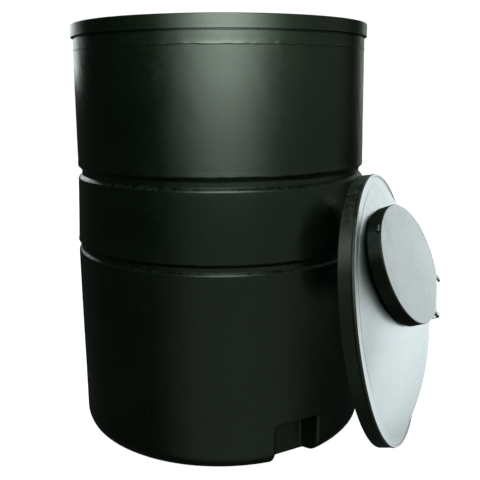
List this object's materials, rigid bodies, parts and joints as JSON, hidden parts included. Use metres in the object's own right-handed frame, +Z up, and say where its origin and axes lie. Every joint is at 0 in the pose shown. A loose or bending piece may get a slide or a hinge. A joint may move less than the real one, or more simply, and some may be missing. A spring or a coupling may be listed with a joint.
{
  "type": "open head water tank with loose domed lid",
  "caption": "Tall open-head plastic tank with a rim collar, ring grooves and an outlet recess, its domed lid with a hinged access cap leaning on the wall.",
  "frame": {"origin": "centre of the tank's flat underside, on the ground", "axes": "+Z up along the tank's axis; -Y is the front, and the lid leans at the +X side, turned to the front"},
  "size_m": [1.458, 1.3457, 1.604],
  "materials": {
    "black_plastic": "semi-gloss rotomoulded polyethylene with faint waviness",
    "gasket_rubber": "matte",
    "stainless_steel": "plain"
  },
  "bodies": {
    "tank": {"tank_shell": "black_plastic"},
    "lid": {"lid_shell": "black_plastic", "hinge_bracket": "black_plastic", "hinge_pin": "stainless_steel", "pin_clip": "stainless_steel", "bracket_screw_1": "stainless_steel", "bracket_screw_2": "stainless_steel", "bracket_nut_1": "stainless_steel", "bracket_nut_2": "stainless_steel"},
    "cap": {"access_cap": "black_plastic", "cap_gasket": "gasket_rubber"}
  },
  "joints": [
    {"name": "lid_lift_off", "type": "slide", "parent": "tank", "child": "lid", "axis": [0.9045, -0.3933, 0.165], "range_m": [0, 0.45]},
    {"name": "cap_hinge", "type": "hinge", "parent": "lid", "child": "cap", "pos_m": [0.79172, -0.38878, 0.60294], "axis": [0.2016, 0.7353, 0.6471], "range_deg": [0, 150]}
  ]
}
